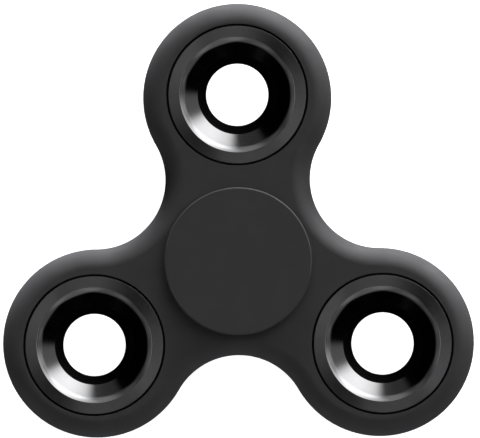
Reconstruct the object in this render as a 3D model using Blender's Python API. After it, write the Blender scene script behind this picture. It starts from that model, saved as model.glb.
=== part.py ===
"""Three-lobed fidget spinner that turns on a 608-size ball bearing.

Units are metres and +Z is up.  The spinner lies flat on its rear cap: the origin
is the centre of that cap's flat outer face, the spin axis is the Z axis, and one
lobe points along +Y.

The body turns with its three weight rings and the bearing's outer race, shields
and snap rings.  The two caps and the inner race are held between finger and
thumb.  The balls and their two-piece cage run between the races, so each ball
also turns about its own centre.
"""
import math

import bmesh
import bpy
from mathutils import Vector

MM = 0.001

# Body: round lobes joined by round necks, with a rounded rim
LOBES = 3
LOBE_PITCH = 26.0 * MM
LOBE_RADIUS = 15.0 * MM
NECK_RADIUS = LOBE_PITCH - LOBE_RADIUS
BODY_THICKNESS = 8.0 * MM
RIM_RADIUS = 3.0 * MM
POCKET_CHAMFER = 0.15 * MM

# Weight rings: a press-fit band holds each in its lobe, below an open seam at both faces
WEIGHT_PITCH = 26.5 * MM
PRESS_BAND_RADIUS = 11.2 * MM
WEIGHT_GAP = 0.1 * MM
LAND_RADIUS = 10.95 * MM
SEAM_DEPTH = 1.2 * MM
WEIGHT_THICKNESS = 7.8 * MM
WEIGHT_CHAMFER = 0.1 * MM
WEIGHT_HOLE_RADIUS = 4.95 * MM
WEIGHT_HOLE_LAND = 1.0 * MM
FLARE_OUTER_RADIUS = 9.1 * MM
FLARE_INNER_RADIUS = 6.3 * MM
FLARE_EDGE_SLOPE = math.radians(18.0)
FLARE_SLOPE = math.radians(36.0)
FLARE_ROUNDING = 3.4 * MM

# Ball bearing, 608 size: 8 mm bore, 22 mm outside, 7 mm wide
BORE_RADIUS = 4.0 * MM
BEARING_RADIUS = 11.0 * MM
BEARING_WIDTH = 7.0 * MM
BEARING_GAP = 0.1 * MM
RACE_CHAMFER = 0.3 * MM
BALLS = 7
BALL_RADIUS = 1.9845 * MM
BALL_PITCH_RADIUS = 7.5 * MM
GROOVE_RADIUS = 2.07 * MM
INNER_SHOULDER_RADIUS = 6.05 * MM
OUTER_SHOULDER_RADIUS = 9.0 * MM

# Cage: two pressed ribbons that meet between the balls
CAGE_INNER_RADIUS = 6.6 * MM
CAGE_OUTER_RADIUS = 8.4 * MM
CAGE_THICKNESS = 0.3 * MM
CAGE_POCKET_RADIUS = 2.15 * MM
CAGE_HALF_GAP = 0.05 * MM

# Shields, and the wire snap rings that hold them in the outer race
SHIELD_SEAT_RADIUS = 9.7 * MM
SHIELD_RADIUS = 9.6 * MM
SHIELD_HOLE_RADIUS = 6.35 * MM
SHIELD_THICKNESS = 0.3 * MM
SHIELD_INNER_FACE = 2.6 * MM
SHIELD_DISH = 0.15 * MM
SNAP_WIRE_RADIUS = 0.2 * MM
SNAP_RING_RADIUS = 9.65 * MM
SNAP_RING_HEIGHT = 3.16 * MM
SNAP_GROOVE_RADIUS = 9.95 * MM
SNAP_GROOVE_HALF_WIDTH = 0.24 * MM
SNAP_RING_SWEEP = math.radians(324.0)

# Caps
CAP_RADIUS = 11.75 * MM
CAP_THICKNESS = 1.7 * MM
CAP_CHAMFER = 0.3 * MM
CAP_TO_BODY = 0.3 * MM
CAP_BOSS_RADIUS = 5.6 * MM
CAP_BOSS_GAP = 0.1 * MM
STEM_RADIUS = 3.92 * MM
STEM_CHAMFER = 0.3 * MM
STEM_GAP = 0.15 * MM

# Fineness of the round shapes
LOBE_STEPS = 16
NECK_STEPS = 8
RIM_STEPS = 4
WEIGHT_SEGMENTS = 36
FLARE_STEPS = 2
BEARING_SEGMENTS = 40
GROOVE_STEPS = 6
CAGE_POCKET_STEPS = 8
WIRE_SIDES = 6
SNAP_RING_STEPS = 30
BALL_SEGMENTS = 16
BALL_RINGS = 8

WELD_DISTANCE = 0.001 * MM
SHARP_EDGE = math.radians(30.0)
MID_HEIGHT = CAP_THICKNESS + CAP_TO_BODY + BODY_THICKNESS / 2
HALF_TURN = (math.pi, 0.0, 0.0)


def clear_scene():
    for item in list(bpy.data.objects):
        bpy.data.objects.remove(item)


# Materials -------------------------------------------------------------------

def plain_material(name, color, roughness, metallic):
    material = bpy.data.materials.new(name)
    material.use_nodes = True
    shader = material.node_tree.nodes["Principled BSDF"]
    shader.inputs["Base Color"].default_value = (*color, 1.0)
    shader.inputs["Roughness"].default_value = roughness
    shader.inputs["Metallic"].default_value = metallic
    material.diffuse_color = (*color, 1.0)
    return material


def body_plastic():
    return plain_material("body_plastic", (0.022, 0.022, 0.023), 0.55, 0.0)


def cap_plastic():
    return plain_material("cap_plastic", (0.024, 0.024, 0.025), 0.50, 0.0)


def weight_steel():
    return plain_material("weight_steel", (0.16, 0.16, 0.165), 0.22, 1.0)


def race_steel():
    return plain_material("race_steel", (0.56, 0.57, 0.58), 0.25, 1.0)


def ball_steel():
    return plain_material("ball_steel", (0.66, 0.66, 0.67), 0.08, 1.0)


def cage_steel():
    return plain_material("cage_steel", (0.48, 0.47, 0.45), 0.35, 1.0)


def shield_steel():
    return plain_material("shield_steel", (0.58, 0.58, 0.58), 0.30, 1.0)


def spring_wire():
    return plain_material("spring_wire", (0.40, 0.40, 0.41), 0.30, 1.0)


# Shared shape tools ----------------------------------------------------------

def polar(radius, angle):
    return Vector((radius * math.cos(angle), radius * math.sin(angle)))


def lobe_angle(lobe):
    return math.radians(90.0) + 2 * math.pi * lobe / LOBES


def mirrored(profile):
    """Upper half of a turned profile, followed by its reflection below z = 0."""
    return profile + [(radius, -z) for radius, z in reversed(profile)]


def finished_mesh(name, shape):
    """Turn a bmesh into a mesh with outward normals and smooth round faces."""
    bmesh.ops.recalc_face_normals(shape, faces=shape.faces)
    mesh = bpy.data.meshes.new(name)
    shape.to_mesh(mesh)
    shape.free()
    mesh.shade_smooth()
    mesh.set_sharp_from_angle(angle=SHARP_EDGE)
    return mesh


def turned_mesh(name, profile, segments):
    """Spin (radius, z) points about Z: a ring, or a solid if both ends lie on the axis."""
    shape = bmesh.new()
    points = [shape.verts.new((radius, 0.0, z)) for radius, z in profile]
    pairs = list(zip(points, points[1:]))
    if profile[0][0] > 0:
        pairs.append((points[-1], points[0]))
    edges = [shape.edges.new(pair) for pair in pairs]
    bmesh.ops.spin(shape, geom=points + edges, cent=(0, 0, 0), axis=(0, 0, 1),
                   angle=2 * math.pi, steps=segments, use_merge=True)
    bmesh.ops.remove_doubles(shape, verts=shape.verts, dist=WELD_DISTANCE)
    return finished_mesh(name, shape)


def bridged_mesh(name, rings, closed):
    """Skin a row of equal point rings, joined end to end or capped at both ends."""
    shape = bmesh.new()
    loops = [[shape.verts.new(point) for point in ring] for ring in rings]
    if closed:
        loops.append(loops[0])
    else:
        shape.faces.new(reversed(loops[0]))
        shape.faces.new(loops[-1])
    for lower, upper in zip(loops, loops[1:]):
        for side in range(len(lower)):
            after = (side + 1) % len(lower)
            shape.faces.new((lower[side], lower[after], upper[after], upper[side]))
    return finished_mesh(name, shape)


def add_empty(name, location, parent=None):
    empty = bpy.data.objects.new(name, None)
    empty.location = location
    empty.parent = parent
    bpy.context.collection.objects.link(empty)
    return empty


def add_piece(name, mesh, material, parent, location=(0, 0, 0), rotation=(0, 0, 0)):
    if not mesh.materials:
        mesh.materials.append(material)
    piece = bpy.data.objects.new(name, mesh)
    piece.location = location
    piece.rotation_euler = rotation
    piece.parent = parent
    bpy.context.collection.objects.link(piece)
    return piece


# Body ------------------------------------------------------------------------

def body_outline(inset):
    """Outline of the body, moved inwards by inset: lobe arcs tangent to neck arcs."""
    points = []
    for lobe in range(LOBES):
        outward = lobe_angle(lobe)
        lobe_centre = polar(LOBE_PITCH, outward)
        neck_centre = polar(LOBE_PITCH, outward + math.pi / LOBES)
        for step in range(LOBE_STEPS):
            angle = outward + math.radians(240.0 * step / LOBE_STEPS - 120.0)
            points.append(lobe_centre + polar(LOBE_RADIUS - inset, angle))
        for step in range(NECK_STEPS):
            angle = outward + math.radians(300.0 - 120.0 * step / NECK_STEPS)
            points.append(neck_centre + polar(NECK_RADIUS + inset, angle))
    return points


def rim_levels():
    """(inset, height) of each outline from the bottom face to the top face."""
    straight = BODY_THICKNESS / 2 - RIM_RADIUS
    upper = []
    for step in range(RIM_STEPS + 1):
        angle = math.radians(90.0 * step / RIM_STEPS)
        inset = RIM_RADIUS * (1 - math.cos(angle))
        upper.append((inset, straight + RIM_RADIUS * math.sin(angle)))
    lower = [(inset, -height) for inset, height in reversed(upper)]
    return lower + upper


def add_pocket_cutter(name, radius, location, segments, parent):
    """A drill for one through hole of the body, flared to chamfer both its mouths."""
    face = BODY_THICKNESS / 2
    over = MM
    profile = mirrored([
        (0.0, face + over),
        (radius + POCKET_CHAMFER + over, face + over),
        (radius, face - POCKET_CHAMFER),
    ])
    mesh = turned_mesh(name, profile, segments)
    cutter = bpy.data.objects.new(name, mesh)
    cutter.location = location
    cutter.parent = parent
    cutter.hide_render = True
    cutter.display_type = "WIRE"
    bpy.context.collection.objects.link(cutter)
    return cutter


def add_body(material, parent):
    levels = [[(*point, height) for point in body_outline(inset)] for inset, height in rim_levels()]
    body = add_piece("spinner_body", bridged_mesh("spinner_body", levels, False), material, parent)
    cutters = [add_pocket_cutter("bearing_seat_cutter", BEARING_RADIUS + BEARING_GAP,
                                 (0, 0, 0), BEARING_SEGMENTS, parent)]
    for lobe in range(LOBES):
        cutters.append(add_pocket_cutter(f"weight_pocket_cutter_{lobe + 1}", PRESS_BAND_RADIUS + WEIGHT_GAP,
                                         weight_place(lobe), WEIGHT_SEGMENTS, parent))
    for cutter in cutters:
        cut = body.modifiers.new(cutter.name, "BOOLEAN")
        cut.operation = "DIFFERENCE"
        cut.solver = "EXACT"
        cut.object = cutter


# Weight rings ----------------------------------------------------------------

def weight_place(lobe):
    return (*polar(WEIGHT_PITCH, lobe_angle(lobe)), 0.0)


def flare_edge():
    """The flare's rounded edge, from its steep inner end out to the land."""
    face = WEIGHT_THICKNESS / 2
    points = []
    for step in range(FLARE_STEPS, -1, -1):
        slope = FLARE_EDGE_SLOPE + (FLARE_SLOPE - FLARE_EDGE_SLOPE) * step / FLARE_STEPS
        radius = FLARE_OUTER_RADIUS - FLARE_ROUNDING * (math.sin(slope) - math.sin(FLARE_EDGE_SLOPE))
        drop = FLARE_ROUNDING * (math.cos(FLARE_EDGE_SLOPE) - math.cos(slope))
        points.append((radius, face - drop))
    return points


def weight_profile():
    """Throat, flare, flat land and press-fit band, from the middle of the hole outwards."""
    face = WEIGHT_THICKNESS / 2
    edge = flare_edge()
    flare_depth = (edge[0][0] - FLARE_INNER_RADIUS) * math.tan(FLARE_SLOPE)
    upper = [
        (WEIGHT_HOLE_RADIUS, WEIGHT_HOLE_LAND / 2),
        (FLARE_INNER_RADIUS, edge[0][1] - flare_depth),
        *edge,
        (LAND_RADIUS - WEIGHT_CHAMFER, face),
        (LAND_RADIUS, face - WEIGHT_CHAMFER),
        (LAND_RADIUS, face - SEAM_DEPTH),
        (PRESS_BAND_RADIUS, face - SEAM_DEPTH),
    ]
    return mirrored(upper)


def add_weights(material, parent):
    mesh = turned_mesh("weight_ring", weight_profile(), WEIGHT_SEGMENTS)
    for lobe in range(LOBES):
        add_piece(f"weight_ring_{lobe + 1}", mesh, material, parent, weight_place(lobe))


# Bearing ---------------------------------------------------------------------

def groove_arc(shoulder_radius, side):
    """Upper half of a ball groove, side +1 in the outer race and -1 in the inner race."""
    reach = math.acos(abs(shoulder_radius - BALL_PITCH_RADIUS) / GROOVE_RADIUS)
    half_steps = GROOVE_STEPS // 2
    points = []
    for step in range(half_steps, 0, -1):
        angle = reach * step / half_steps
        points.append((BALL_PITCH_RADIUS + side * GROOVE_RADIUS * math.cos(angle),
                       GROOVE_RADIUS * math.sin(angle)))
    return points


def outer_race_profile():
    face = BEARING_WIDTH / 2
    upper = [
        (BEARING_RADIUS, face - RACE_CHAMFER),
        (BEARING_RADIUS - RACE_CHAMFER, face),
        (SHIELD_SEAT_RADIUS, face),
        (SHIELD_SEAT_RADIUS, SNAP_RING_HEIGHT + SNAP_GROOVE_HALF_WIDTH),
        (SNAP_GROOVE_RADIUS, SNAP_RING_HEIGHT + SNAP_GROOVE_HALF_WIDTH),
        (SNAP_GROOVE_RADIUS, SNAP_RING_HEIGHT - SNAP_GROOVE_HALF_WIDTH),
        (SHIELD_SEAT_RADIUS, SNAP_RING_HEIGHT - SNAP_GROOVE_HALF_WIDTH),
        (SHIELD_SEAT_RADIUS, SHIELD_INNER_FACE - CAGE_HALF_GAP),
        (OUTER_SHOULDER_RADIUS, SHIELD_INNER_FACE - CAGE_HALF_GAP),
        *groove_arc(OUTER_SHOULDER_RADIUS, 1),
    ]
    bottom = [(BALL_PITCH_RADIUS + GROOVE_RADIUS, 0.0)]
    return upper + bottom + [(radius, -z) for radius, z in reversed(upper)]


def inner_race_profile():
    face = BEARING_WIDTH / 2
    upper = [
        (BORE_RADIUS, face - RACE_CHAMFER),
        (BORE_RADIUS + RACE_CHAMFER, face),
        (INNER_SHOULDER_RADIUS - RACE_CHAMFER, face),
        (INNER_SHOULDER_RADIUS, face - RACE_CHAMFER),
        *groove_arc(INNER_SHOULDER_RADIUS, -1),
    ]
    bottom = [(BALL_PITCH_RADIUS - GROOVE_RADIUS, 0.0)]
    return upper + bottom + [(radius, -z) for radius, z in reversed(upper)]


def shield_profile():
    """A pressed washer whose hole edge is dished inwards, towards the balls' side."""
    low = SHIELD_INNER_FACE
    high = SHIELD_INNER_FACE + SHIELD_THICKNESS
    step_radius = (SHIELD_HOLE_RADIUS + SHIELD_RADIUS) / 2
    return [
        (SHIELD_HOLE_RADIUS, low + SHIELD_DISH),
        (step_radius, low + SHIELD_DISH),
        (step_radius + SHIELD_THICKNESS, low),
        (SHIELD_RADIUS, low),
        (SHIELD_RADIUS, high),
        (step_radius + SHIELD_THICKNESS, high),
        (step_radius, high + SHIELD_DISH),
        (SHIELD_HOLE_RADIUS, high + SHIELD_DISH),
    ]


def snap_ring_rings():
    """Round wire sections along an open ring."""
    rings = []
    for step in range(SNAP_RING_STEPS + 1):
        turn = SNAP_RING_SWEEP * (step / SNAP_RING_STEPS - 0.5)
        ring = []
        for side in range(WIRE_SIDES):
            around = 2 * math.pi * side / WIRE_SIDES
            radius = SNAP_RING_RADIUS + SNAP_WIRE_RADIUS * math.cos(around)
            height = SNAP_RING_HEIGHT + SNAP_WIRE_RADIUS * math.sin(around)
            ring.append((*polar(radius, turn), height))
        rings.append(ring)
    return rings


def ball_angle(ball):
    return 2 * math.pi * ball / BALLS


def cage_section(centre_angle, tilt):
    """Four corners of the ribbon, tilt radians round a ball's centre from its top."""
    corners = []
    for radius, height in ((CAGE_POCKET_RADIUS, CAGE_HALF_GAP),
                           (CAGE_POCKET_RADIUS + CAGE_THICKNESS, CAGE_HALF_GAP + CAGE_THICKNESS)):
        angle = centre_angle + radius * math.sin(tilt) / BALL_PITCH_RADIUS
        level = max(height, radius * math.cos(tilt))
        corners.append([(*polar(edge, angle), level) for edge in (CAGE_INNER_RADIUS, CAGE_OUTER_RADIUS)])
    (low_in, low_out), (high_in, high_out) = corners
    return [low_in, low_out, high_out, high_in]


def cage_sections():
    """The ribbon arches over each ball and runs flat between neighbours."""
    sections = []
    for ball in range(BALLS):
        for step in range(CAGE_POCKET_STEPS + 1):
            tilt = math.pi * (step / CAGE_POCKET_STEPS - 0.5)
            sections.append(cage_section(ball_angle(ball), tilt))
    return sections


def ball_mesh():
    shape = bmesh.new()
    bmesh.ops.create_uvsphere(shape, u_segments=BALL_SEGMENTS, v_segments=BALL_RINGS, radius=BALL_RADIUS)
    return finished_mesh("ball", shape)


def add_races(material, spin_axis, hub):
    outer = turned_mesh("bearing_outer_race", outer_race_profile(), BEARING_SEGMENTS)
    inner = turned_mesh("bearing_inner_race", inner_race_profile(), BEARING_SEGMENTS)
    add_piece("bearing_outer_race", outer, material, spin_axis)
    add_piece("bearing_inner_race", inner, material, hub)


def add_shields(material, spin_axis):
    mesh = turned_mesh("bearing_shield", shield_profile(), BEARING_SEGMENTS)
    add_piece("bearing_shield_front", mesh, material, spin_axis)
    add_piece("bearing_shield_rear", mesh, material, spin_axis, rotation=HALF_TURN)


def add_snap_rings(material, spin_axis):
    mesh = bridged_mesh("snap_ring", snap_ring_rings(), False)
    add_piece("snap_ring_front", mesh, material, spin_axis)
    add_piece("snap_ring_rear", mesh, material, spin_axis, rotation=HALF_TURN)


def add_cage(material, cage_axis):
    mesh = bridged_mesh("ball_cage", cage_sections(), True)
    add_piece("ball_cage_front", mesh, material, cage_axis)
    add_piece("ball_cage_rear", mesh, material, cage_axis, rotation=HALF_TURN)


def add_balls(material, cage_axis):
    mesh = ball_mesh()
    for ball in range(BALLS):
        place = (*polar(BALL_PITCH_RADIUS, ball_angle(ball)), 0.0)
        add_piece(f"bearing_ball_{ball + 1}", mesh, material, cage_axis, place)


# Caps ------------------------------------------------------------------------

def cap_profile():
    """Flat disc, boss that bears on the inner race, and stem that fills half its bore."""
    underside = BODY_THICKNESS / 2 + CAP_TO_BODY
    top = underside + CAP_THICKNESS
    boss_end = BEARING_WIDTH / 2 + CAP_BOSS_GAP
    return [
        (0.0, top),
        (CAP_RADIUS - CAP_CHAMFER, top),
        (CAP_RADIUS, top - CAP_CHAMFER),
        (CAP_RADIUS, underside),
        (CAP_BOSS_RADIUS, underside),
        (CAP_BOSS_RADIUS, boss_end),
        (STEM_RADIUS, boss_end),
        (STEM_RADIUS, STEM_GAP + STEM_CHAMFER),
        (STEM_RADIUS - STEM_CHAMFER, STEM_GAP),
        (0.0, STEM_GAP),
    ]


def add_caps(material, hub):
    mesh = turned_mesh("cap", cap_profile(), BEARING_SEGMENTS)
    add_piece("front_cap", mesh, material, hub)
    add_piece("rear_cap", mesh, material, hub, rotation=HALF_TURN)


def main():
    clear_scene()
    hub = add_empty("hub", (0, 0, MID_HEIGHT))
    spin_axis = add_empty("spin_axis", (0, 0, 0), hub)
    cage_axis = add_empty("cage_axis", (0, 0, 0), hub)
    add_body(body_plastic(), spin_axis)
    add_weights(weight_steel(), spin_axis)
    add_races(race_steel(), spin_axis, hub)
    add_shields(shield_steel(), spin_axis)
    add_snap_rings(spring_wire(), spin_axis)
    add_cage(cage_steel(), cage_axis)
    add_balls(ball_steel(), cage_axis)
    add_caps(cap_plastic(), hub)


main()
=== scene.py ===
import math

import bmesh
import bpy
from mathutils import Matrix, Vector


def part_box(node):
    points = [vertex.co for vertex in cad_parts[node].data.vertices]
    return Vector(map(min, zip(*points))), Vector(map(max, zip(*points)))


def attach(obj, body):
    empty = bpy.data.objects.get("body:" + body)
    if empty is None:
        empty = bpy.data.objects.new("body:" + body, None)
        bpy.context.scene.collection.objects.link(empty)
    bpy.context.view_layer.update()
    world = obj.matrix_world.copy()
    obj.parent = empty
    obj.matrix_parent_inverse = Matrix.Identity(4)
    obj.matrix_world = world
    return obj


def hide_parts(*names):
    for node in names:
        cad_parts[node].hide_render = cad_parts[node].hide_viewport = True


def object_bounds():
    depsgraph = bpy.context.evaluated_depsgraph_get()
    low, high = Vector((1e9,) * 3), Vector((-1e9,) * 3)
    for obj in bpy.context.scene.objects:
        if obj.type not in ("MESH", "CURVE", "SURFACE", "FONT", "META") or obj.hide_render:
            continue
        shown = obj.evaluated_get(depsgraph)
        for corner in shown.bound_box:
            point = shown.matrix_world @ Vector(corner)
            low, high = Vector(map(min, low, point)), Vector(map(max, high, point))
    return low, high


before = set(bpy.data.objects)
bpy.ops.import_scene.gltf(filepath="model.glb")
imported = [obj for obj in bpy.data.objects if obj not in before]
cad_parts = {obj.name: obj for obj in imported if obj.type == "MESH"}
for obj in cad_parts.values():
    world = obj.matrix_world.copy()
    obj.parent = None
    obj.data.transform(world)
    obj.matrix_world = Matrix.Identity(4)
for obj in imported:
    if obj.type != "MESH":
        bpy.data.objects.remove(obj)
cad_low, cad_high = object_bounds()

MM = 0.001
LOBES = 3
BALLS = 7

# The frame's own sizes ---------------------------------------------------------

body_low, body_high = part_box("spinner_body")
cap_low, cap_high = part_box("front_cap")
ball_low, ball_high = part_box("bearing_ball_1")
outer_race_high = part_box("bearing_outer_race")[1]
inner_race_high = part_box("bearing_inner_race")[1]
shield_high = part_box("bearing_shield_front")[1]
weight_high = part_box("weight_ring_1")[1]

MID_HEIGHT = (body_low.z + body_high.z) / 2
BODY_FACE = body_high.z - MID_HEIGHT
LOBE_PITCH = 2 * (body_high.y + body_low.y)
LOBE_RADIUS = body_high.y - LOBE_PITCH
NECK_RADIUS = LOBE_PITCH - LOBE_RADIUS
WEIGHT_FACE = weight_high.z - MID_HEIGHT
RACE_RADIUS = outer_race_high.x
RACE_FACE = outer_race_high.z - MID_HEIGHT
CAP_RADIUS = cap_high.x
CAP_FACE = cap_high.z - MID_HEIGHT
STEM_END = cap_low.z - MID_HEIGHT
BALL_RADIUS = (ball_high.x - ball_low.x) / 2
BALL_PITCH_RADIUS = (ball_high.x + ball_low.x) / 2
INNER_SHOULDER_RADIUS = inner_race_high.x
SHIELD_RADIUS = shield_high.x

# Finer sizes of the shapes -----------------------------------------------------

# Body, with a faint parting line round the middle of its rim
RIM_RADIUS = 3.0 * MM
PARTING_DEPTH = 0.05 * MM
PARTING_HALF_WIDTH = 0.07 * MM
POCKET_RADIUS = 11.3 * MM
SEAT_RADIUS = RACE_RADIUS + 0.1 * MM
MOUTH_ROUNDING = 0.06 * MM
MOUTH_RISE = 0.3 * MOUTH_ROUNDING
CUTTER_OVERRUN = 1.0 * MM

# Weight rings; each press band bites slightly into its pocket's wall
LAND_RADIUS = 10.95 * MM
SEAM_DEPTH = 1.2 * MM
PRESS_BAND_RADIUS = POCKET_RADIUS + 0.002 * MM
WEIGHT_EDGE = 0.05 * MM
WEIGHT_HOLE_RADIUS = 4.95 * MM
WEIGHT_HOLE_LAND = 0.5 * MM
THROAT_ROUNDING = 0.5 * MM
THROAT_CREASE = 0.05 * MM
FLARE_OUTER_RADIUS = 9.18 * MM
FLARE_INNER_RADIUS = 6.3 * MM
FLARE_EDGE_SLOPE = math.radians(18.0)
FLARE_SLOPE = math.radians(36.0)
FLARE_ROUNDING = 3.4 * MM
FLARE_CREASE = 0.15 * MM

# Races
BORE_RADIUS = 4.0 * MM
GROOVE_RADIUS = 2.07 * MM
OUTER_SHOULDER_RADIUS = 9.0 * MM
RACE_ROUNDING = 0.28 * MM
INNER_SHOULDER_ROUNDING = 0.2 * MM
FINE_ROUNDING = 0.06 * MM

# Shields and snap rings
SHIELD_SEAT_RADIUS = 9.7 * MM
SHIELD_SEAT_EDGE = 0.02 * MM
SHIELD_HOLE_RADIUS = 6.35 * MM
SHIELD_THICKNESS = 0.3 * MM
SHIELD_INNER_FACE = 2.6 * MM
SHIELD_DISH = 0.15 * MM
SHIELD_EDGE = 0.08 * MM
SHIELD_BEND = 0.3 * MM
SNAP_WIRE_RADIUS = 0.2 * MM
SNAP_RING_RADIUS = 9.65 * MM
SNAP_RING_HEIGHT = 3.16 * MM
SNAP_GROOVE_RADIUS = 9.95 * MM
SNAP_GROOVE_HALF_WIDTH = 0.24 * MM
SNAP_GROOVE_EDGE = 0.01 * MM
SNAP_GROOVE_ROUNDING = 0.10 * MM
SNAP_RING_SWEEP = math.radians(324.0)

# Cage
CAGE_INNER_RADIUS = 6.6 * MM
CAGE_OUTER_RADIUS = 8.4 * MM
CAGE_THICKNESS = 0.3 * MM
CAGE_POCKET_RADIUS = 2.15 * MM
CAGE_HALF_GAP = 0.05 * MM
CAGE_EDGE = 0.04 * MM
CAGE_SHARP_ANGLE = math.radians(50.0)

# Caps
CAP_UNDERSIDE = BODY_FACE + 0.3 * MM
CAP_EDGE = 0.24 * MM
CAP_LOWER_EDGE = 0.12 * MM
CAP_BOSS_RADIUS = 5.6 * MM
CAP_BOSS_END = RACE_FACE + 0.1 * MM
CAP_BOSS_ROOT = 0.1 * MM
STEM_RADIUS = 3.92 * MM
STEM_ROOT = 0.05 * MM
STEM_EDGE = 0.3 * MM

# Fineness
LOBE_STEPS = 96
NECK_STEPS = 48
RIM_STEPS = 14
ROUND_SEGMENTS = 160
FILLET_STEPS = 5
WEIGHT_FILLET_STEPS = 8
GROOVE_STEPS = 20
CAGE_POCKET_STEPS = 28
CAGE_EDGE_STEPS = 2
WIRE_STEPS = 180
WIRE_END_STEPS = 5
WIRE_SIDES = 20
BALL_CUTS = 11
SMOOTH_ANGLE = math.radians(32.0)
WELD_DISTANCE = 0.0005 * MM


# Materials ---------------------------------------------------------------------

# Fineness of each texture, in repeats per metre
PATCH_SCALE = 260.0
SPECKLE_SCALE = 9000.0
RIPPLE_SCALE = 900.0
GRAIN_SCALE = 7000.0
STAIN_SCALE = 420.0
HAIRLINE_SCALE = 900.0
HAIRLINE_STRETCH = (1.0, 14.0, 1.0)
HAIRLINE_TILT = (0.3, 0.2, 0.7)
SPECKLE_SHARE = 0.35
PLASTIC_IOR = 1.46


class Nodes:
    """Short calls for making and joining the nodes of one material."""

    def __init__(self, name):
        self.material = bpy.data.materials.new(name)
        self.material.use_nodes = True
        self.tree = self.material.node_tree
        self.shader = self.tree.nodes["Principled BSDF"]

    def add(self, kind, **settings):
        node = self.tree.nodes.new(kind)
        for key, value in settings.items():
            setattr(node, key, value)
        return node

    def set(self, node, **values):
        for key, value in values.items():
            node.inputs[key.replace("_", " ")].default_value = value
        return node

    def join(self, output, socket):
        self.tree.links.new(output, socket)

    def place(self):
        """Coordinates in the piece's own frame, in metres."""
        return self.add("ShaderNodeTexCoord").outputs["Object"]

    def noise(self, scale, detail=2.0, roughness=0.5, where=None):
        node = self.add("ShaderNodeTexNoise")
        self.set(node, Scale=scale, Detail=detail, Roughness=roughness)
        self.join(where or self.place(), node.inputs["Vector"])
        return node.outputs["Fac"]

    def grain(self, scale):
        """Rounded pits of a spark-eroded mould surface."""
        node = self.add("ShaderNodeTexVoronoi", feature="SMOOTH_F1")
        self.set(node, Scale=scale, Smoothness=0.6)
        self.join(self.place(), node.inputs["Vector"])
        return node.outputs["Distance"]

    def turning_lines(self, scale, distortion=0.4):
        """Concentric lines round the piece's Z axis, as a lathe tool leaves them."""
        node = self.add("ShaderNodeTexWave", wave_type="RINGS", rings_direction="Z")
        self.set(node, Scale=scale, Distortion=distortion, Detail=2.0)
        self.join(self.place(), node.inputs["Vector"])
        return node.outputs["Fac"]

    def scratches(self, scale, stretch):
        """Fine hairlines: noise stretched along one direction."""
        mapping = self.add("ShaderNodeMapping")
        self.set(mapping, Scale=stretch, Rotation=HAIRLINE_TILT)
        self.join(self.place(), mapping.inputs["Vector"])
        return self.noise(scale, 3.0, 0.6, mapping.outputs["Vector"])

    def ranged(self, value, low, high, to_low, to_high):
        node = self.add("ShaderNodeMapRange", clamp=True)
        self.set(node, From_Min=low, From_Max=high, To_Min=to_low, To_Max=to_high)
        self.join(value, node.inputs["Value"])
        return node.outputs["Result"]

    def combined(self, operation, first, second):
        node = self.add("ShaderNodeMath", operation=operation)
        for socket, value in zip(node.inputs, (first, second)):
            if isinstance(value, (int, float)):
                socket.default_value = value
            else:
                self.join(value, socket)
        return node.outputs["Value"]

    def mixed_color(self, factor, first, second):
        node = self.add("ShaderNodeMix", data_type="RGBA")
        self.join(factor, node.inputs[0])
        node.inputs[6].default_value = (*first, 1.0)
        node.inputs[7].default_value = (*second, 1.0)
        return node.outputs[2]

    def bump(self, height, depth, base=None):
        """Bump whose full height range is depth metres."""
        node = self.add("ShaderNodeBump")
        self.set(node, Strength=1.0, Distance=depth)
        self.join(height, node.inputs["Height"])
        if base is not None:
            self.join(base, node.inputs["Normal"])
        return node.outputs["Normal"]


def moulded_plastic(name, color, rubbed_color, roughness, rubbed_roughness, grain_depth):
    """Fine-grained black moulding, slightly polished and paler where fingers rub it."""
    nodes = Nodes(name)
    rubbed = nodes.ranged(nodes.noise(PATCH_SCALE, 3.0), 0.35, 0.65, 0.0, 1.0)
    nodes.join(nodes.mixed_color(rubbed, color, rubbed_color), nodes.shader.inputs["Base Color"])
    uneven = nodes.combined("MULTIPLY", nodes.noise(SPECKLE_SCALE, 2.0), SPECKLE_SHARE)
    uneven = nodes.combined("ADD", uneven, rubbed)
    nodes.join(nodes.ranged(uneven, 0.0, 1.6, roughness, rubbed_roughness),
               nodes.shader.inputs["Roughness"])
    ripple = nodes.bump(nodes.noise(RIPPLE_SCALE, 2.0), 2.0 * grain_depth)
    pitted = nodes.bump(nodes.grain(GRAIN_SCALE), grain_depth, ripple)
    nodes.join(pitted, nodes.shader.inputs["Normal"])
    nodes.shader.inputs["IOR"].default_value = PLASTIC_IOR
    return nodes.material


def body_plastic():
    return moulded_plastic("body_moulding", color=(0.020, 0.020, 0.021),
                           rubbed_color=(0.023, 0.023, 0.024), roughness=0.56,
                           rubbed_roughness=0.50, grain_depth=0.004 * MM)


def cap_plastic():
    return moulded_plastic("cap_moulding", color=(0.021, 0.021, 0.022),
                           rubbed_color=(0.024, 0.024, 0.025), roughness=0.52,
                           rubbed_roughness=0.47, grain_depth=0.003 * MM)


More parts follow.
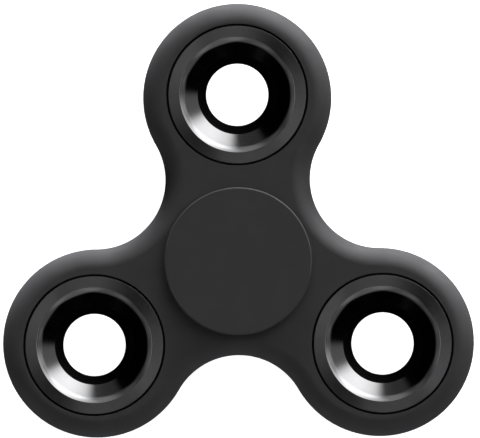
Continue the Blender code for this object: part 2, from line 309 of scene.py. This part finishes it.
def turned_metal(name, color, worn_color, roughness, worn_roughness, anisotropy, line_depth, line_scale):
    """Lathe-turned metal: concentric tool lines, hairline scratches and faint staining."""
    nodes = Nodes(name)
    nodes.shader.inputs["Metallic"].default_value = 1.0
    nodes.shader.inputs["Anisotropic"].default_value = anisotropy
    stains = nodes.ranged(nodes.noise(STAIN_SCALE, 4.0), 0.35, 0.7, 0.0, 1.0)
    nodes.join(nodes.mixed_color(stains, color, worn_color), nodes.shader.inputs["Base Color"])
    hairs = nodes.scratches(HAIRLINE_SCALE, HAIRLINE_STRETCH)
    hair_wear = nodes.combined("MULTIPLY", nodes.ranged(hairs, 0.45, 0.75, 0.0, 1.0), 0.5)
    lines = nodes.turning_lines(line_scale)
    line_wear = nodes.combined("MULTIPLY", lines, 0.5)
    wear = nodes.combined("ADD", hair_wear, line_wear)
    nodes.join(nodes.ranged(wear, 0.0, 1.0, roughness, worn_roughness), nodes.shader.inputs["Roughness"])
    nodes.join(nodes.bump(lines, line_depth), nodes.shader.inputs["Normal"])
    return nodes.material


def weight_land():
    return turned_metal("weight_land", color=(0.15, 0.15, 0.155), worn_color=(0.17, 0.17, 0.175),
                        roughness=0.33, worn_roughness=0.38, anisotropy=0.9,
                        line_depth=0.0003 * MM, line_scale=1500.0)


def weight_flare():
    return turned_metal("weight_flare", color=(0.34, 0.34, 0.345), worn_color=(0.36, 0.36, 0.365),
                        roughness=0.10, worn_roughness=0.15, anisotropy=0.2,
                        line_depth=0.0002 * MM, line_scale=2500.0)


# Near-black turned metal for the throat; on the seam floor and press band this dark colour is painted
# shade
def weight_throat_and_seam_shade():
    return turned_metal("weight_throat_and_seam_shade", color=(0.014, 0.014, 0.015), worn_color=(0.020, 0.020, 0.021),
                        roughness=0.36, worn_roughness=0.44, anisotropy=0.3,
                        line_depth=0.0010 * MM, line_scale=1800.0)


def race_steel():
    return turned_metal("race_steel", color=(0.52, 0.53, 0.54), worn_color=(0.58, 0.58, 0.59),
                        roughness=0.20, worn_roughness=0.30, anisotropy=0.5,
                        line_depth=0.0004 * MM, line_scale=2200.0)


def shield_steel():
    return turned_metal("shield_steel", color=(0.50, 0.51, 0.53), worn_color=(0.58, 0.57, 0.54),
                        roughness=0.26, worn_roughness=0.36, anisotropy=0.2,
                        line_depth=0.0005 * MM, line_scale=900.0)


def cage_steel():
    return turned_metal("cage_steel", color=(0.40, 0.39, 0.36), worn_color=(0.50, 0.49, 0.46),
                        roughness=0.32, worn_roughness=0.42, anisotropy=0.0,
                        line_depth=0.0006 * MM, line_scale=1200.0)


def spring_wire():
    return turned_metal("spring_wire", color=(0.33, 0.33, 0.34), worn_color=(0.42, 0.42, 0.43),
                        roughness=0.26, worn_roughness=0.34, anisotropy=0.4,
                        line_depth=0.0005 * MM, line_scale=3000.0)


def ball_steel():
    return turned_metal("ball_steel", color=(0.62, 0.62, 0.63), worn_color=(0.66, 0.66, 0.67),
                        roughness=0.05, worn_roughness=0.10, anisotropy=0.0,
                        line_depth=0.0001 * MM, line_scale=1500.0)


# Shape tools -------------------------------------------------------------------

def polar(radius, angle):
    return Vector((radius * math.cos(angle), radius * math.sin(angle)))


def lobe_angle(lobe):
    return math.radians(90.0) + 2 * math.pi * lobe / LOBES


def mirrored(corners):
    """Upper half of a turned outline, followed by its reflection in the middle plane."""
    return corners + [(radius, -z, *rest) for radius, z, *rest in reversed(corners)]


def rounded(corners, steps=FILLET_STEPS):
    """Replace each (radius, z, fillet) corner by a tangent arc; a fillet of 0 stays sharp."""
    points = []
    for index, (radius, z, fillet) in enumerate(corners):
        corner = Vector((radius, z))
        if not fillet:
            points.append(corner)
            continue
        back = (Vector(corners[index - 1][:2]) - corner).normalized()
        ahead = (Vector(corners[(index + 1) % len(corners)][:2]) - corner).normalized()
        half = back.angle(ahead) / 2
        middle = corner + (back + ahead).normalized() * fillet / math.sin(half)
        spoke = corner + back * fillet / math.tan(half) - middle
        start = math.atan2(spoke.y, spoke.x)
        sweep = math.copysign(math.pi - 2 * half, back.cross(ahead))
        for step in range(steps + 1):
            points.append(middle + polar(fillet, start - sweep * step / steps))
    return points


def finished(name, shape, materials):
    """Object from a bmesh, shaded smooth except at its sharp edges."""
    bmesh.ops.recalc_face_normals(shape, faces=shape.faces)
    mesh = bpy.data.meshes.new(name)
    shape.to_mesh(mesh)
    shape.free()
    for material in materials:
        mesh.materials.append(material)
    mesh.shade_smooth()
    mesh.set_sharp_from_angle(angle=SMOOTH_ANGLE)
    piece = bpy.data.objects.new(name, mesh)
    bpy.context.collection.objects.link(piece)
    return piece


def turned(name, points, materials, band=None):
    """Solid of revolution about Z; band(radius, z) picks the material slot of each strip."""
    shape = bmesh.new()
    corners = [shape.verts.new((radius, 0.0, z)) for radius, z in points]
    pairs = list(zip(corners, corners[1:]))
    if points[0][0] > 0:
        pairs.append((corners[-1], corners[0]))
    edges = [shape.edges.new(pair) for pair in pairs]
    bmesh.ops.spin(shape, geom=corners + edges, cent=(0, 0, 0), axis=(0, 0, 1),
                   angle=2 * math.pi, steps=ROUND_SEGMENTS, use_merge=True)
    bmesh.ops.remove_doubles(shape, verts=shape.verts, dist=WELD_DISTANCE)
    if band:
        for face in shape.faces:
            centre = face.calc_center_median()
            face.material_index = band(centre.xy.length, centre.z)
    return finished(name, shape, materials)


def bridged(name, rings, closed, materials):
    """Skin over a row of equal point rings, joined end to end or capped."""
    shape = bmesh.new()
    loops = [[shape.verts.new(point) for point in ring] for ring in rings]
    if closed:
        loops.append(loops[0])
    else:
        shape.faces.new(reversed(loops[0]))
        shape.faces.new(loops[-1])
    for lower, upper in zip(loops, loops[1:]):
        for side in range(len(lower)):
            after = (side + 1) % len(lower)
            shape.faces.new((lower[side], lower[after], upper[after], upper[side]))
    return finished(name, shape, materials)


def weigh_normals(piece):
    """Keep wide flat faces flat where they meet a rounding."""
    weighting = piece.modifiers.new("weighted_normals", "WEIGHTED_NORMAL")
    weighting.keep_sharp = True


def settle(piece, node, body, place=(0.0, 0.0), flipped=False):
    """Put a piece where its CAD node is, and let it ride on that node's body."""
    if flipped:
        piece.rotation_euler = (math.pi, 0.0, 0.0)
    piece.location = (*place, MID_HEIGHT)
    bpy.context.view_layer.update()
    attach(piece, body)
    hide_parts(node)


# Body --------------------------------------------------------------------------

def body_outline(inset):
    """Outline of the body, moved inwards by inset: lobe arcs tangent to neck arcs."""
    points = []
    for lobe in range(LOBES):
        outward = lobe_angle(lobe)
        lobe_centre = polar(LOBE_PITCH, outward)
        neck_centre = polar(LOBE_PITCH, outward + math.pi / LOBES)
        for step in range(LOBE_STEPS):
            angle = outward + math.radians(240.0 * step / LOBE_STEPS - 120.0)
            points.append(lobe_centre + polar(LOBE_RADIUS - inset, angle))
        for step in range(NECK_STEPS):
            angle = outward + math.radians(300.0 - 120.0 * step / NECK_STEPS)
            points.append(neck_centre + polar(NECK_RADIUS + inset, angle))
    return points


def rim_levels():
    """(inset, height) of each outline: rounded rim with a parting line at its middle."""
    straight = BODY_FACE - RIM_RADIUS
    upper = [
        (PARTING_DEPTH, 0.0),
        (PARTING_DEPTH * 0.5, PARTING_HALF_WIDTH * 0.5),
        (0.0, PARTING_HALF_WIDTH),
    ]
    for step in range(RIM_STEPS + 1):
        angle = math.radians(90.0 * step / RIM_STEPS)
        upper.append((RIM_RADIUS * (1 - math.cos(angle)), straight + RIM_RADIUS * math.sin(angle)))
    lower = [(inset, -height) for inset, height in reversed(upper[1:])]
    return lower + upper


def pocket_cutter(radius, place):
    """Drill for a through hole with rounded mouths; its arcs cross the faces at a clear angle."""
    arc_top = BODY_FACE + MOUTH_RISE
    mouth = []
    for step in range(FILLET_STEPS + 1):
        angle = math.radians(90.0 * step / FILLET_STEPS)
        mouth.append((radius + MOUTH_ROUNDING * (1 - math.cos(angle)),
                      arc_top - MOUTH_ROUNDING * (1 - math.sin(angle))))
    end = BODY_FACE + CUTTER_OVERRUN
    upper = [(0.0, end), (radius + MOUTH_ROUNDING + CUTTER_OVERRUN, end), *reversed(mouth)]
    points = [Vector(point) for point in mirrored(upper)]
    cutter = turned("pocket_cutter", points, [])
    cutter.location = (*place, 0.0)
    return cutter


def make_body():
    """Skin of stacked outlines, drilled for the bearing and the three rings."""
    levels = [[(*point, height) for point in body_outline(inset)] for inset, height in rim_levels()]
    rough = bridged("rough_body", levels, False, [body_plastic()])
    cutters = [pocket_cutter(SEAT_RADIUS, (0.0, 0.0))]
    for lobe in range(LOBES):
        cutters.append(pocket_cutter(POCKET_RADIUS, weight_place(lobe)))
    for cutter in cutters:
        cut = rough.modifiers.new("pocket", "BOOLEAN")
        cut.operation = "DIFFERENCE"
        cut.solver = "EXACT"
        cut.object = cutter
    graph = bpy.context.evaluated_depsgraph_get()
    mesh = bpy.data.meshes.new_from_object(rough.evaluated_get(graph))
    mesh.name = "spinner_body_shell"
    body = bpy.data.objects.new("spinner_body_shell", mesh)
    bpy.context.collection.objects.link(body)
    for scrap in [rough, *cutters]:
        bpy.data.objects.remove(scrap)
    mesh.shade_smooth()
    mesh.set_sharp_from_angle(angle=SMOOTH_ANGLE)
    weigh_normals(body)
    settle(body, "spinner_body", "spinner")


# Weight rings ------------------------------------------------------------------

def weight_place(lobe):
    low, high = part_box(f"weight_ring_{lobe + 1}")
    return ((low + high) / 2).xy


def weight_outline():
    """Throat, flare with a rounded bend, land, seam and press band, from the hole outwards."""
    run = FLARE_ROUNDING * math.tan((FLARE_SLOPE - FLARE_EDGE_SLOPE) / 2) + FLARE_CREASE / 4
    bend_radius = FLARE_OUTER_RADIUS - run * math.cos(FLARE_EDGE_SLOPE)
    bend_level = WEIGHT_FACE - run * math.sin(FLARE_EDGE_SLOPE)
    flare_depth = (bend_radius - FLARE_INNER_RADIUS) * math.tan(FLARE_SLOPE)
    upper = [
        (WEIGHT_HOLE_RADIUS, WEIGHT_HOLE_LAND, THROAT_ROUNDING),
        (FLARE_INNER_RADIUS, bend_level - flare_depth, THROAT_CREASE),
        (bend_radius, bend_level, FLARE_ROUNDING),
        (FLARE_OUTER_RADIUS, WEIGHT_FACE, FLARE_CREASE),
        (LAND_RADIUS, WEIGHT_FACE, WEIGHT_EDGE),
        (LAND_RADIUS, WEIGHT_FACE - SEAM_DEPTH, 0),
        (PRESS_BAND_RADIUS, WEIGHT_FACE - SEAM_DEPTH, FINE_ROUNDING),
    ]
    return mirrored(upper)


def weight_band(radius, height):
    """0 for the land, 1 for the polished flare, 2 for the near-black throat, whose colour also paints
    shade on the seam floor and press band.
    """
    # The seam floor and press band take the near-black colour: painted shade inside the slot
    painted_seam_shade = radius > LAND_RADIUS and abs(height) < WEIGHT_FACE - SEAM_DEPTH / 2
    if radius < FLARE_INNER_RADIUS or painted_seam_shade:
        return 2
    return 1 if radius < FLARE_OUTER_RADIUS else 0


def make_weights():
    materials = [weight_land(), weight_flare(), weight_throat_and_seam_shade()]
    points = rounded(weight_outline(), steps=WEIGHT_FILLET_STEPS)
    for lobe in range(LOBES):
        ring = turned(f"weight_{lobe + 1}", points, materials, band=weight_band)
        weigh_normals(ring)
        settle(ring, f"weight_ring_{lobe + 1}", "spinner", weight_place(lobe))


# Bearing -----------------------------------------------------------------------

def groove(shoulder_radius, side):
    """Whole ball groove from its upper to its lower edge."""
    reach = math.acos(abs(shoulder_radius - BALL_PITCH_RADIUS) / GROOVE_RADIUS)
    points = []
    for step in range(GROOVE_STEPS + 1):
        angle = reach * (1 - 2 * step / GROOVE_STEPS)
        points.append((BALL_PITCH_RADIUS + side * GROOVE_RADIUS * math.cos(angle),
                       GROOVE_RADIUS * math.sin(angle), 0))
    return points


def make_outer_race(steel):
    groove_top = SNAP_RING_HEIGHT + SNAP_GROOVE_HALF_WIDTH
    groove_low = SNAP_RING_HEIGHT - SNAP_GROOVE_HALF_WIDTH
    seat = SHIELD_INNER_FACE - CAGE_HALF_GAP
    upper = [
        (RACE_RADIUS, RACE_FACE, RACE_ROUNDING),
        (SHIELD_SEAT_RADIUS, RACE_FACE, SHIELD_SEAT_EDGE),
        (SHIELD_SEAT_RADIUS, groove_top, SNAP_GROOVE_EDGE),
        (SNAP_GROOVE_RADIUS, groove_top, SNAP_GROOVE_ROUNDING),
        (SNAP_GROOVE_RADIUS, groove_low, SNAP_GROOVE_ROUNDING),
        (SHIELD_SEAT_RADIUS, groove_low, SHIELD_SEAT_EDGE),
        (SHIELD_SEAT_RADIUS, seat, FINE_ROUNDING),
        (OUTER_SHOULDER_RADIUS, seat, FINE_ROUNDING),
    ]
    lower = [(radius, -z, fillet) for radius, z, fillet in reversed(upper)]
    points = rounded(upper + groove(OUTER_SHOULDER_RADIUS, 1) + lower)
    outer = turned("outer_race", points, [steel])
    weigh_normals(outer)
    settle(outer, "bearing_outer_race", "spinner")


def make_inner_race(steel):
    upper = [
        (BORE_RADIUS, RACE_FACE, RACE_ROUNDING),
        (INNER_SHOULDER_RADIUS, RACE_FACE, INNER_SHOULDER_ROUNDING),
    ]
    lower = [(radius, -z, fillet) for radius, z, fillet in reversed(upper)]
    points = rounded(upper + groove(INNER_SHOULDER_RADIUS, -1) + lower)
    inner = turned("inner_race", points, [steel])
    weigh_normals(inner)
    settle(inner, "bearing_inner_race", "hub")


def make_races():
    steel = race_steel()
    make_outer_race(steel)
    make_inner_race(steel)


def make_shields():
    """Pressed washers whose hole edges are dished, one at each face of the bearing."""
    steel = shield_steel()
    low = SHIELD_INNER_FACE
    high = low + SHIELD_THICKNESS
    bend = (SHIELD_HOLE_RADIUS + SHIELD_RADIUS) / 2
    outline = [
        (SHIELD_HOLE_RADIUS, low + SHIELD_DISH, SHIELD_EDGE),
        (bend, low + SHIELD_DISH, SHIELD_BEND),
        (bend + SHIELD_THICKNESS, low, SHIELD_BEND),
        (SHIELD_RADIUS, low, SHIELD_EDGE),
        (SHIELD_RADIUS, high, SHIELD_EDGE),
        (bend + SHIELD_THICKNESS, high, SHIELD_BEND),
        (bend, high + SHIELD_DISH, SHIELD_BEND),
        (SHIELD_HOLE_RADIUS, high + SHIELD_DISH, SHIELD_EDGE),
    ]
    for side, flipped in (("front", False), ("rear", True)):
        shield = turned(f"shield_{side}", rounded(outline), [steel])
        weigh_normals(shield)
        settle(shield, f"bearing_shield_{side}", "spinner", flipped=flipped)


def wire_section(turn, size):
    """Points round the wire at an angle along the ring; size 1 is its full section."""
    section = []
    for corner in range(WIRE_SIDES):
        around = 2 * math.pi * corner / WIRE_SIDES
        radius = SNAP_RING_RADIUS + SNAP_WIRE_RADIUS * size * math.cos(around)
        height = SNAP_RING_HEIGHT + SNAP_WIRE_RADIUS * size * math.sin(around)
        section.append((*polar(radius, turn), height))
    return section


def make_snap_rings():
    """Open wire rings with domed ends."""
    wire = spring_wire()
    dome = SNAP_WIRE_RADIUS / SNAP_RING_RADIUS
    half_sweep = SNAP_RING_SWEEP / 2 - dome
    start = []
    for step in range(1, WIRE_END_STEPS):
        angle = math.pi / 2 * step / WIRE_END_STEPS
        start.append((-half_sweep - dome * math.cos(angle), math.sin(angle)))
    middle = [(half_sweep * (2 * step / WIRE_STEPS - 1), 1.0) for step in range(WIRE_STEPS + 1)]
    end = [(-turn, size) for turn, size in reversed(start)]
    sections = [wire_section(turn, size) for turn, size in start + middle + end]
    for side, flipped in (("front", False), ("rear", True)):
        snap = bridged(f"snap_wire_{side}", sections, False, [wire])
        settle(snap, f"snap_ring_{side}", "spinner", flipped=flipped)


def ball_angle(ball):
    return 2 * math.pi * ball / BALLS


def cage_section(centre_angle, tilt):
    """Four corners of the ribbon, tilt radians round a ball's centre from its top."""
    corners = []
    for radius, height in ((CAGE_POCKET_RADIUS, CAGE_HALF_GAP),
                           (CAGE_POCKET_RADIUS + CAGE_THICKNESS, CAGE_HALF_GAP + CAGE_THICKNESS)):
        angle = centre_angle + radius * math.sin(tilt) / BALL_PITCH_RADIUS
        level = max(height, radius * math.cos(tilt))
        corners.append([(*polar(edge, angle), level) for edge in (CAGE_INNER_RADIUS, CAGE_OUTER_RADIUS)])
    (low_in, low_out), (high_in, high_out) = corners
    return [low_in, low_out, high_out, high_in]


def make_cage():
    """Two ribbons that arch over the balls and run flat between them."""
    steel = cage_steel()
    sections = []
    for ball in range(BALLS):
        for step in range(CAGE_POCKET_STEPS + 1):
            tilt = math.pi * (step / CAGE_POCKET_STEPS - 0.5)
            sections.append(cage_section(ball_angle(ball), tilt))
    for side, flipped in (("front", False), ("rear", True)):
        ribbon = bridged(f"cage_{side}", sections, True, [steel])
        edges = ribbon.modifiers.new("rounded_edges", "BEVEL")
        edges.width = CAGE_EDGE
        edges.segments = CAGE_EDGE_STEPS
        edges.limit_method = "ANGLE"
        edges.angle_limit = CAGE_SHARP_ANGLE
        settle(ribbon, f"ball_cage_{side}", "ball_cage", flipped=flipped)


def make_balls():
    steel = ball_steel()
    for ball in range(BALLS):
        shape = bmesh.new()
        bmesh.ops.create_cube(shape, size=2.0)
        bmesh.ops.subdivide_edges(shape, edges=shape.edges, cuts=BALL_CUTS, use_grid_fill=True)
        for corner in shape.verts:
            corner.co = corner.co.normalized() * BALL_RADIUS
        sphere = finished(f"ball_{ball + 1}", shape, [steel])
        place = polar(BALL_PITCH_RADIUS, ball_angle(ball))
        settle(sphere, f"bearing_ball_{ball + 1}", f"ball_{ball + 1}", place)


# Caps --------------------------------------------------------------------------

def make_caps():
    """Flat disc, boss and stem of each cap, from the middle of its face."""
    plastic = cap_plastic()
    outline = [
        (0.0, CAP_FACE, 0),
        (CAP_RADIUS, CAP_FACE, CAP_EDGE),
        (CAP_RADIUS, CAP_UNDERSIDE, CAP_LOWER_EDGE),
        (CAP_BOSS_RADIUS, CAP_UNDERSIDE, CAP_BOSS_ROOT),
        (CAP_BOSS_RADIUS, CAP_BOSS_END, FINE_ROUNDING),
        (STEM_RADIUS, CAP_BOSS_END, STEM_ROOT),
        (STEM_RADIUS, STEM_END, STEM_EDGE),
        (0.0, STEM_END, 0),
    ]
    for side, flipped in (("front", False), ("rear", True)):
        cap = turned(f"cap_{side}", rounded(outline), [plastic])
        weigh_normals(cap)
        settle(cap, f"{side}_cap", "hub", flipped=flipped)


# Studio ------------------------------------------------------------------------

def direction(azimuth, elevation):
    """Unit vector to a point of the sky: azimuth from +X towards +Y, both in degrees."""
    level = math.cos(math.radians(elevation))
    return (*polar(level, math.radians(azimuth)), math.sin(math.radians(elevation)))


# Soft lights of the sky: (azimuth, elevation, full radius, faded radius, strength), with angles
# in degrees; the first few are the main light, and the rest fill in round it
SKY_LIGHTS = (
    (58.0, 20.0, 8.0, 34.0, 2.6),
    (60.0, 42.0, 5.0, 28.0, 1.6),
    (56.0, 54.0, 3.0, 12.0, 1.2),
    (90.0, 42.0, 5.0, 26.0, 0.4),
    (30.0, 42.0, 5.0, 26.0, 0.6),
    (28.0, 54.0, 3.0, 16.0, 0.5),
    (45.0, 0.0, 5.0, 34.0, 0.5),
    (16.0, 20.0, 4.0, 22.0, 0.24),
    (0.0, 38.0, 4.0, 20.0, 0.20),
    (105.0, 20.0, 4.0, 20.0, 0.08),
    (115.0, 42.0, 5.0, 24.0, 0.12),
    (150.0, 46.0, 4.0, 24.0, 0.08),
    (180.0, 50.0, 4.0, 26.0, 0.15),
    (207.0, 40.0, 3.0, 18.0, 0.06),
    (225.0, 38.0, 3.0, 19.0, 0.09),
    (240.0, 32.0, 3.0, 16.0, 0.05),
    (255.0, 44.0, 4.0, 24.0, 0.18),
    (290.0, 44.0, 8.0, 25.0, 0.27),
    (325.0, 43.0, 5.0, 24.0, 0.18),
    (0.0, 66.0, 3.0, 13.0, 1.3),
    (180.0, 66.0, 3.0, 13.0, 1.2),
    (98.0, 66.0, 3.0, 13.0, 1.0),
    (276.0, 66.0, 3.0, 13.0, 0.7),
)
BACKDROP = 1.0

# Lamps that light the moulding only, as no metal here scatters light: (azimuth, elevation, strength)
SOFT_SUNS = (
    (90.0, -5.0, 27.0),
    (90.0, -35.0, 6.0),
    (45.0, -5.0, 6.2),
    (225.0, -5.0, 3.6),
    (315.0, -5.0, 3.8),
    (240.0, 60.0, 0.1),
)
SUN_SPREAD = math.radians(35.0)

FLOOR_HALF_WIDTH = 3.0
FLOOR_DROP = 0.02 * MM
FLOOR_GLOW = 0.93
FLOOR_ALBEDO = 0.8
FLOOR_ROUGHNESS = 0.9


def make_sky():
    """World lit by SKY_LIGHTS, with a plain white backdrop for the camera."""
    world = bpy.data.worlds.new("studio")
    world.use_nodes = True
    bpy.context.scene.world = world
    tree = world.node_tree
    tree.nodes.clear()
    output = tree.nodes.new("ShaderNodeOutputWorld")
    where = tree.nodes.new("ShaderNodeTexCoord").outputs["Generated"]

    def joined(kind, settings, links):
        node = tree.nodes.new(kind)
        for key, value in settings.items():
            setattr(node, key, value)
        for index, value in links.items():
            if isinstance(value, (int, float, tuple)):
                node.inputs[index].default_value = value
            else:
                tree.links.new(value, node.inputs[index])
        return node

    def smooth(value, low, high, to_low, to_high):
        return joined("ShaderNodeMapRange", {"interpolation_type": "SMOOTHERSTEP"},
                      {0: value, 1: low, 2: high, 3: to_low, 4: to_high}).outputs["Result"]

    def added(first, second):
        return joined("ShaderNodeMath", {"operation": "ADD"}, {0: first, 1: second}).outputs["Value"]

    total = 0.0
    for azimuth, elevation, full, faded, strength in SKY_LIGHTS:
        facing = joined("ShaderNodeVectorMath", {"operation": "DOT_PRODUCT"},
                        {0: where, 1: direction(azimuth, elevation)}).outputs["Value"]
        lobe = smooth(facing, math.cos(math.radians(faded)), math.cos(math.radians(full)), 0.0, strength)
        total = added(total, lobe)
    light = joined("ShaderNodeBackground", {}, {"Strength": total})
    backdrop = joined("ShaderNodeBackground", {}, {"Strength": BACKDROP})
    ray = tree.nodes.new("ShaderNodeLightPath").outputs["Is Camera Ray"]
    mix = tree.nodes.new("ShaderNodeMixShader")
    tree.links.new(ray, mix.inputs[0])
    tree.links.new(light.outputs[0], mix.inputs[1])
    tree.links.new(backdrop.outputs[0], mix.inputs[2])
    tree.links.new(mix.outputs[0], output.inputs["Surface"])


def make_suns():
    """Soft lamps without highlights."""
    for azimuth, elevation, strength in SOFT_SUNS:
        lamp = bpy.data.lights.new("soft_sun", "SUN")
        lamp.angle = SUN_SPREAD
        lamp.energy = strength
        sun = bpy.data.objects.new("soft_sun", lamp)
        sun.location = direction(azimuth, elevation)
        sun.rotation_euler = sun.location.to_track_quat("Z", "Y").to_euler()
        sun.visible_glossy = False
        bpy.context.collection.objects.link(sun)


def make_floor():
    """White floor that only the camera sees; it casts no shadow, so low lights pass under it."""
    half = FLOOR_HALF_WIDTH
    mesh = bpy.data.meshes.new("floor")
    corners = [(-half, -half, 0.0), (half, -half, 0.0), (half, half, 0.0), (-half, half, 0.0)]
    mesh.from_pydata(corners, [], [(0, 1, 2, 3)])
    floor = bpy.data.objects.new("floor", mesh)
    floor.location.z = cad_low.z - FLOOR_DROP
    bpy.context.collection.objects.link(floor)
    material = bpy.data.materials.new("floor_white")
    material.use_nodes = True
    shader = material.node_tree.nodes["Principled BSDF"]
    shader.inputs["Base Color"].default_value = (FLOOR_ALBEDO, FLOOR_ALBEDO, FLOOR_ALBEDO, 1.0)
    shader.inputs["Roughness"].default_value = FLOOR_ROUGHNESS
    shader.inputs["Specular IOR Level"].default_value = 0.0
    shader.inputs["Emission Color"].default_value = (1.0, 1.0, 1.0, 1.0)
    shader.inputs["Emission Strength"].default_value = FLOOR_GLOW
    mesh.materials.append(material)
    floor.visible_glossy = False
    floor.visible_diffuse = False
    floor.visible_shadow = False


# Camera straight above the front, framed VIEW_WIDTH wide at the body's face
VIEW_WIDTH = 76.35 * MM
VIEW_CENTRE = Vector((0.34, 6.71)) * MM
VIEW_ROLL = math.radians(-0.3)
LENS_LENGTH = 900.0
SENSOR_WIDTH = 36.0


def make_camera():
    data = bpy.data.cameras.new("front_view")
    data.sensor_width = SENSOR_WIDTH
    data.lens = LENS_LENGTH
    distance = VIEW_WIDTH * LENS_LENGTH / SENSOR_WIDTH
    camera = bpy.data.objects.new("front_view", data)
    camera.location = (*VIEW_CENTRE, body_high.z + distance)
    camera.rotation_euler = (0.0, 0.0, VIEW_ROLL)
    data.clip_start = distance / 10
    data.clip_end = distance * 10
    bpy.context.collection.objects.link(camera)
    bpy.context.scene.camera = camera


make_body()
make_weights()
make_races()
make_shields()
make_snap_rings()
make_cage()
make_balls()
make_caps()
make_sky()
make_suns()
make_floor()
make_camera()
bpy.context.scene.view_settings.view_transform = "Standard"
